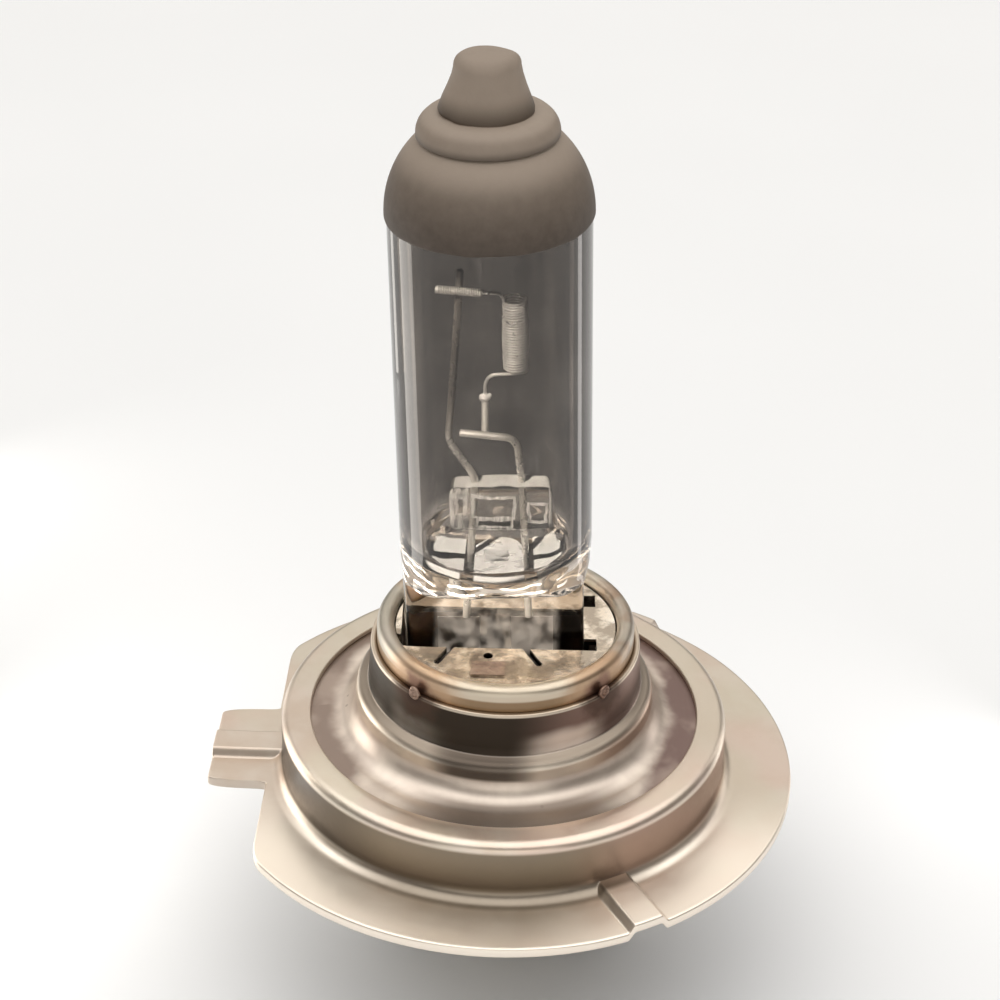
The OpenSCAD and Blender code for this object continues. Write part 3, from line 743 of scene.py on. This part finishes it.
sleeve_profile = [(12.35, 2.55), (12.35, 2.8), (12.3, 2.85), (11.6, 2.85), (11.2, 2.85), (10.9, 2.86), (10.6, 2.89)]
sleeve_profile += arc(10.12, 4.43, 1.5, 275, 187, 18)
sleeve_profile += [(8.61, 4.5), (8.6, 4.7)]
sleeve_profile += arc(8.05, 4.76, 0.55, 5, 70, 8)
sleeve_profile += [(7.99, 5.385), (7.91, 5.45), (7.88, 5.53), (7.86, 6.0), (7.8, 6.9), (7.74, 7.9)]
sleeve_profile += arc(7.62, 7.97, 0.11, 0, 90, 4)
sleeve_profile += [(7.45, 8.08), (7.39, 8.02), (7.39, 5.3), (7.5, 5.1), (7.8, 5.0)]
sleeve_profile += arc(8.05, 4.76, 0.2, 70, 5, 4)
sleeve_profile += arc(10.12, 4.43, 1.85, 187, 268, 14)
sleeve_profile += [(10.9, 2.5), (12.3, 2.5)]
add_piece("stepped_sleeve", lathe(sleeve_profile, TURNED_STEPS), sleeve_paint.mat, "outer_sleeve",
          sharp=50)

cup_profile = [(7.38, -1.1), (7.38, 4.0), (7.38, 8.8)]
cup_profile += arc(6.88, 9.0, 0.5, 0, 250, 22)
cup_profile += [(6.98, 8.42), (6.98, 4.0), (6.98, -1.1)]
add_piece("rolled_cup", lathe(cup_profile, TURNED_STEPS), cup_paint.mat, "burner_cup", sharp=50)


def crater(angle):
    """A weld spot: a raised ragged ring round a small bead."""
    ca, sa = math.cos(math.radians(angle)), math.sin(math.radians(angle))
    out, side, up = Vector((ca, sa, 0)), Vector((-sa, ca, 0)), Vector((0, 0, 1))
    centre = Vector((WELD_R * ca, WELD_R * sa, WELD_Z)) + out * 0.12
    verts = []
    turns, tube = 28, 10
    for i in range(turns):
        a = 2 * math.pi * i / turns
        for k in range(tube):
            b = 2 * math.pi * k / tube
            lump = 1 + 0.5 * noise.noise(Vector((math.cos(a) * 1.6, math.sin(a) * 1.6, angle)))
            r = 0.28 + 0.12 * lump * math.cos(b)
            across = side * (r * math.cos(a)) + up * (r * math.sin(a))
            verts.append(centre + across + out * (0.11 * lump * math.sin(b)))
    ring = (verts, ring_faces(turns, tube, close_rows=True, inward=True))
    return join_parts([ring, ball(centre - out * 0.03, 0.24, rings=10, sides=16, rough=0.25)])


add_piece("weld_craters", join_parts([crater(a) for a in WELD_ANGLES]), weld_paint.mat, "weld_dots")


# ---------------------------------------------------------------- quartz envelope and its coat

COAT_STEPS = 192
QUARTZ_SIDES = 256
WIDE = 9.0


def dome_line(t):
    """The dome, bead and tip, t outside the quartz."""
    line = [(TUBE_R + t, 34.55)]
    line += arc(0, 34.6, TUBE_R + t, 0, 49.5, 22)
    line += [(3.44 + 0.7 * t, BEAD_Z + 0.6 * t)]
    line += arc(2.6, 39.0, 1.02 + t, -5, 82, 14)
    line += [(2.3 + t, 40.02 + t), (2.3 + t, 40.1 + t), (2.27 + t, 40.25 + t)]
    line += [(2.12 + t, 40.8), (1.9 + t, 41.45), (1.72 + t, 42.05)]
    line += arc(1.07, 42.5, 0.55 + t, 0, 82, 8)
    line += [(0.5, 43.08 + t), (0, 43.08 + t)]
    return line


def tip_shape(x, y, z):
    """The tip leans and flares a little to one side, as a pinched-off tube does."""
    if z > 39.4:
        rise = smooth_step(40.0, 40.5, z)
        t = smooth_step(42.6, 40.2, z)
        left = smooth_step(0.3, -2.0, x)
        x -= 0.16 * t * left * rise
        lump = 0.10 * noise.noise(Vector((x * 0.9, y * 0.9, z * 0.55))) * smooth_step(39.4, 40.4, z)
        r = math.hypot(x, y)
        if r > 1e-6:
            x += x / r * lump * min(1.0, r)
            y += y / r * lump * min(1.0, r)
        z += 0.12 * noise.noise(Vector((x * 0.6, y * 0.6, 7.7))) * smooth_step(41.8, 42.8, z)
    return x, y, z


def build_coat():
    """A thin skin over the dome and tip, with an uneven lower edge."""
    profile = [(TUBE_R + 0.02, 34.52), (TUBE_R + 0.09, 34.45)] + dome_line(COAT_T)
    verts, faces = lathe(profile + list(reversed(dome_line(0.0)))[:-1], COAT_STEPS, tip_shape)
    waved = []
    for x, y, z in verts:
        wave = 0.05 * noise.noise(Vector((x * 0.8, y * 0.8, 1.0))) if z < 34.5 else 0.0
        waved.append((x, y, z + wave))
    return waved, faces


def envelope_ring(z):
    """Half width and half thickness of the quartz at a height, WIDE where only the tube's circle bounds it."""
    if z <= 12.4:
        thick = PINCH_HALF_T
    elif z <= 12.9:
        thick = PINCH_HALF_T + 0.5 - math.sqrt(max(0.0, 0.25 - (z - 12.4) ** 2))
    elif z <= 14.6:
        thick = 3.11 + math.sqrt(max(0.0, SHOULDER_ROUND ** 2 - (SHOULDER_Z - z) ** 2))
    else:
        thick = WIDE
    width = WIDE if z > 14.3 else 5.15 + 0.6 * smooth_step(12.8, 14.3, z)
    return width, thick


def uneven(x, y, z, amount):
    """Small folds in the drawn quartz."""
    n = Vector((x * 0.55, y * 0.55, z * 0.9))
    return (x * (1 + amount * 0.25 * noise.noise(n)),
            y * (1 + amount * 0.25 * noise.noise(n + Vector((5, 1, 2)))),
            z + amount * noise.noise(n + Vector((9, 4, 7))))


def ring_radius(angle, z):
    """Distance from the burner's axis to the outside of the quartz."""
    half_width, half_thick = envelope_ring(z)
    c, s = math.cos(angle), math.sin(angle)
    shift = -0.2 * smooth_step(14.0, 12.6, z)
    wide = (half_width + (shift if c > 0 else -shift)) / max(abs(c), 1e-6)
    thick = half_thick / max(abs(s), 1e-6)
    return smooth_min(TUBE_R, smooth_min(wide, thick, 0.5), 0.3)


def build_envelope():
    """The quartz from pinch to tip, then the wall of its hollow, and the number of the hollow's first face."""
    angles = [2 * math.pi * (k + 0.5) / QUARTZ_SIDES for k in range(QUARTZ_SIDES)]
    heights = [3.0, 3.0, 3.08] + [3.3 + 9.1 * i / 20 for i in range(21)]
    heights += [12.5, 12.6, 12.7, 12.8, 12.86, 12.9]
    heights += [SHOULDER_Z - SHOULDER_ROUND * math.cos(math.radians(a))
                for a in (2, 5, 8, 12, 16, *range(20, 66, 5), 69)]
    heights += [14.64, 14.8, 15.0, SHOULDER_Z]
    fullness = [0.0, 0.9, 0.98] + [1.0] * (len(heights) - 3)
    verts = []
    for z, full in zip(heights, fullness):
        fold = 0.10 * smooth_step(12.3, 13.0, z) * smooth_step(15.0, 14.2, z)
        for a in angles:
            r = ring_radius(a, z) * full
            verts.append(uneven(r * math.cos(a), r * math.sin(a), z, fold))
    line = [(TUBE_R, z) for z in (16.0, 18.0, 22.0, 26.0, 30.0, 33.0)] + dome_line(0.0)
    for r, z in line:
        verts += [tip_shape(r * math.cos(a), r * math.sin(a), z) for a in angles]
    faces = ring_faces(len(heights) + len(line), QUARTZ_SIDES)
    base, outside = len(verts), len(faces)
    hollow = [(0, 13.6), (0.4, 13.6), (0.8, 13.61), (1.2, 13.62), (1.6, 13.64), (2.0, 13.67), (2.4, 13.72)]
    hollow += arc(2.7, SHOULDER_Z, 1.66, -78, 0, 12) + [(HOLLOW_R, 17.0), (HOLLOW_R, 22.0), (HOLLOW_R, 28.0)]
    hollow += arc(0, 34.4, HOLLOW_R, 0, 90, 18)
    for r, z in hollow:
        fold = 0.14 * smooth_step(15.2, 14.2, z)
        verts += [uneven(r * math.cos(a), r * math.sin(a), z, fold) for a in angles]
    faces += ring_faces(len(hollow), QUARTZ_SIDES, base=base, inward=True)
    return (verts, faces), outside


add_piece("tip_coat", build_coat(), coat_paint.mat, "antiglare_coat", sharp=60, matrix=BURNER)
envelope, hollow_start = build_envelope()
add_piece("quartz_bulb", envelope, envelope_glass.mat, "quartz_envelope", sharp=60, matrix=BURNER,
          fix_normals=False, second=(hollow_start, hollow_glass.mat))


# ---------------------------------------------------------------- filament, leads, supports, bridge

COIL_X, COIL_R, COIL_LOW, COIL_HIGH = 1.25, 0.625, 25.46, 29.68
COIL_TURNS, COIL_STEPS_PER_TURN, COIL_WIRE_R = 27.5, 40, 0.058
LEAD_R, SUPPORT_R = 0.1, 0.21


def coil_path():
    """The filament's helix, a little fuller in its middle."""
    path = []
    steps = int(COIL_TURNS * COIL_STEPS_PER_TURN)
    for i in range(steps + 1):
        a = 2 * math.pi * i / COIL_STEPS_PER_TURN
        t = i / steps
        r = COIL_R + 0.05 * math.sin(math.pi * min(1.0, t * 1.05))
        path.append((COIL_X + r * math.cos(a), r * math.sin(a), COIL_LOW + (COIL_HIGH - COIL_LOW) * t))
    return path


def overwind(start, end, core, wire, pitch):
    """A rod wound with fine wire."""
    a, b = Vector(start), Vector(end)
    axis = (b - a).normalized()
    side = axis.orthogonal().normalized()
    up = axis.cross(side)
    length = (b - a).length
    steps = max(24, int(length / pitch * 12))
    path = []
    for i in range(steps + 1):
        t = i / steps
        angle = 2 * math.pi * length / pitch * t
        around = (side * math.cos(angle) + up * math.sin(angle)) * core
        path.append(a + axis * (wire + (length - 2 * wire) * t) + around)
    return join_parts([sweep([a + axis * 0.03, b - axis * 0.03], core, 14), sweep(path, wire, 6)])


def build_bridge():
    """A drawn quartz bar, rounded along its edges and a little fuller in its middle."""
    half, end_round, half_depth, half_height, squareness = 2.82, 0.35, 1.07, 1.37, 5.0
    steps, sides = 28, 64
    verts = []
    for i in range(steps + 1):
        x = -half + 2 * half * (0.5 - 0.5 * math.cos(math.pi * i / steps))
        past = max(0.0, abs(x) - (half - end_round)) / end_round
        edge = min(1.0, math.sqrt(max(0.0, 1 - past ** 2)) * 0.25 + 0.75)
        full = 1.0 + 0.03 * math.cos(math.pi * x / half)
        for k in range(sides):
            a = 2 * math.pi * k / sides
            c, s = math.cos(a), math.sin(a)
            r = (abs(c / half_depth) ** squareness + abs(s / half_height) ** squareness) ** (-1 / squareness)
            r *= edge * full
            verts.append((0.33 + x, r * c, BRIDGE_Z + r * s))
    faces = ring_faces(steps + 1, sides)
    faces.append(tuple(range(sides - 1, -1, -1)))
    faces.append(tuple(steps * sides + k for k in range(sides)))
    return verts, faces


def bent_rod(points, bend, radius, sides):
    """A round rod along a polyline with curved corners."""
    return sweep(rounded_path(points, bend), radius, sides)


add_piece("filament_winding", sweep(coil_path(), COIL_WIRE_R, 8), tungsten_paint.mat, "filament_coil",
          matrix=BURNER)
upper_lead = bent_rod([(0.62, 0.0, 29.68), (0.52, 0.0, 29.9), (0.3, 0.0, 29.99), (-0.6, 0.0, 30.0)], 0.14, LEAD_R, 12)
add_piece("upper_lead", upper_lead, tungsten_paint.mat, "upper_leg", matrix=BURNER)
lower_lead = bent_rod([(1.87, 0.0, 25.46), (1.8, 0.0, 25.22), (1.2, 0.0, 25.12), (-0.1, 0.0, 25.06),
                       (-0.42, 0.0, 24.6), (-0.43, 0.0, 23.9)], 0.4, LEAD_R, 12)
add_piece("lower_lead", lower_lead, tungsten_paint.mat, "lower_leg", matrix=BURNER)
upper_wind = overwind((-0.5, 0.0, 30.0), (-2.95, 0.0, 30.24), 0.19, 0.06, 0.13)
add_piece("upper_overwind", upper_wind, leg_paint.mat, "upper_leg_sleeve", matrix=BURNER)
lower_wind = overwind((-0.43, 0.0, 23.45), (-0.48, 0.0, 21.15), 0.17, 0.05, 0.12)
add_piece("lower_overwind", lower_wind, leg_paint.mat, "lower_leg_sleeve", matrix=BURNER)
crimp = join_parts([ball((-0.43, 0.0, 23.67), 0.3, (1.1, 0.9, 0.75), 12, 18, 0.3),
                    ball((-0.2, 0.05, 23.75), 0.14, (1, 1, 1), 8, 12, 0.3),
                    ball((-0.64, -0.03, 23.75), 0.13, (1, 1, 1), 8, 12, 0.3)])
add_piece("leg_crimp", crimp, clamp_paint.mat, "leg_clamp", matrix=BURNER)
long_wire = bent_rod([(-1.75, 0, 9.6), (-1.06, 0, 18.65), (-2.55, 0.2, 20.9), (-1.85, 0.48, 28.5),
                      (-1.66, 0.48, 31.1)], 0.55, SUPPORT_R, 18)
add_piece("long_support", long_wire, support_paint.mat, "long_support_wire", matrix=BURNER)
short_wire = bent_rod([(1.82, 0, 9.6), (1.48, 0, 18.65), (1.3, -0.3, 20.8), (0.95, -0.48, 21.4),
                       (-1.78, -0.48, 21.75)], 0.6, SUPPORT_R, 18)
add_piece("short_support", short_wire, support_paint.mat, "short_support_wire", matrix=BURNER)
add_piece("bridge_bar", build_bridge(), bridge_glass.mat, "quartz_bridge", sharp=50, matrix=BURNER)


# ---------------------------------------------------------------- CAD nodes that keep their shape

for node_name, paint in (("retaining_clip", clip_paint), ("foil_left", foil_paint), ("foil_right", foil_paint),
                         ("lead_pin_left", support_paint), ("lead_pin_right", support_paint),
                         ("base_insulator", insulator_paint), ("base_shell", shell_paint),
                         ("blade_left", blade_paint), ("blade_right", blade_paint)):
    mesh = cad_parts[node_name].data
    mesh.materials.clear()
    mesh.materials.append(paint.mat)


# ---------------------------------------------------------------- floor, in metres from here on

FLOOR_HALF, FLOOR_GAP = 1.2, 0.00005

floor_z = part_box("blade_left")[0].z - FLOOR_GAP
corners = [(x * FLOOR_HALF, y * FLOOR_HALF, floor_z) for x, y in ((-1, -1), (1, -1), (1, 1), (-1, 1))]
floor_mesh = bpy.data.meshes.new("floor")
floor_mesh.from_pydata(corners, [], [(0, 1, 2, 3)])
floor = bpy.data.objects.new("floor", floor_mesh)
scene.collection.objects.link(floor)
floor_paint = Paint("floor_look")
pale = floor_paint.ramp(floor_paint.noise(floor_paint.place, 0.02, 2.0), 0.3, 0.7)
floor_paint.cover(floor_paint.blend(pale, (0.87, 0.885, 0.905), (0.885, 0.90, 0.92)))
floor_paint.bsdf.inputs["Roughness"].default_value = 0.9
floor_mesh.materials.append(floor_paint.mat)


# ---------------------------------------------------------------- lamps

INNER_LAMP_PLACE = (-0.20, -0.27, 0.30)


def aim(obj, place, target):
    """Puts a lamp at a place and points it at a target."""
    obj.location = place
    obj.rotation_euler = (Vector(target) - obj.location).to_track_quat("-Z", "Y").to_euler()
    scene.collection.objects.link(obj)


def panel(name, place, target, width, height, radiance, colour):
    """A soft box of a given brightness."""
    data = bpy.data.lights.new(name, "AREA")
    data.shape = "RECTANGLE"
    data.size, data.size_y = width, height
    data.energy = radiance * math.pi * width * height
    data.color = colour
    aim(bpy.data.objects.new(name, data), place, target)


def inner_lamp(name, height, energy, angle, pieces):
    """A small lamp that only lights the named pieces of the burner."""
    data = bpy.data.lights.new(name, "SPOT")
    data.energy = energy
    data.spot_size = math.radians(angle)
    data.spot_blend = 0.3
    data.shadow_soft_size = 0.02
    data.color = (1.0, 0.97, 0.92)
    obj = bpy.data.objects.new(name, data)
    aim(obj, INNER_LAMP_PLACE, (0, BURNER_Y * MM, height))
    lit = bpy.data.collections.new(name + "_lit")
    for piece in pieces:
        lit.objects.link(bpy.data.objects[piece])
    obj.light_linking.receiver_collection = lit


panel("back_panel", (0.0, 0.52, 0.34), (0, 0, 0), 0.90, 0.38, 0.95, (1.0, 0.96, 0.90))
panel("top_panel", (0.0, -0.08, 0.55), (0, -0.08, 0), 1.30, 0.90, 1.5, (1.0, 0.985, 0.955))
panel("front_panel", (0.0, -0.60, 0.10), (0, 0, 0.01), 0.60, 0.26, 1.1, (1.0, 0.97, 0.91))
panel("left_strip", (-0.040, 0.009, 0.004), (0, 0, 0.004), 0.016, 0.034, 3.0, (1.0, 0.95, 0.88))
panel("left_edge_strip", (-0.050, 0.052, 0.004), (0, 0, 0.004), 0.010, 0.034, 1.8, (1.0, 0.95, 0.88))
panel("right_strip", (0.038, 0.0175, 0.004), (0, 0, 0.004), 0.006, 0.034, 2.4, (1.0, 0.95, 0.92))
inner_lamp("wire_lamp", 0.0235, 135.0, 3.6, ["filament_winding", "upper_lead", "lower_lead", "upper_overwind",
                                           "lower_overwind", "leg_crimp", "long_support", "short_support"])
inner_lamp("bridge_lamp", 0.0170, 290.0, 2.4, ["bridge_bar"])
inner_lamp("hollow_lamp", 0.0150, 620.0, 2.6, ["quartz_bulb"])

world = bpy.data.worlds.new("studio")
scene.world = world
world.use_nodes = True
background = world.node_tree.nodes["Background"]
background.inputs[0].default_value = (0.16, 0.145, 0.13, 1)
background.inputs[1].default_value = 1.0


# ---------------------------------------------------------------- camera

CAMERA_PLACE = (0.0, -0.1147113, 0.0867384)
PITCH_DOWN, YAW, ROLL = math.radians(31.2136), math.radians(-0.2401), math.radians(1.2396)
LENS_MM, SENSOR_MM = 86.858, 36.0

forward = Vector((math.sin(YAW) * math.cos(PITCH_DOWN), math.cos(YAW) * math.cos(PITCH_DOWN), -math.sin(PITCH_DOWN)))
level_right = forward.cross(Vector((0, 0, 1))).normalized()
level_up = level_right.cross(forward)
right = level_right * math.cos(ROLL) + level_up * math.sin(ROLL)
up = level_up * math.cos(ROLL) - level_right * math.sin(ROLL)
camera_data = bpy.data.cameras.new("camera")
camera_data.lens = LENS_MM
camera_data.sensor_width = SENSOR_MM
camera_data.clip_start = 0.01
camera_data.clip_end = 10.0
camera = bpy.data.objects.new("camera", camera_data)
camera.matrix_world = Matrix([(*row, place) for row, place in zip(zip(right, up, -forward), CAMERA_PLACE)]
                             + [(0, 0, 0, 1)])
scene.collection.objects.link(camera)
scene.camera = camera

scene.view_settings.view_transform = "Standard"
scene.view_settings.look = "None"
scene.cycles.max_bounces = 16
scene.cycles.transmission_bounces = 14
scene.cycles.transparent_max_bounces = 16
scene.cycles.caustics_reflective = False
scene.cycles.caustics_refractive = False
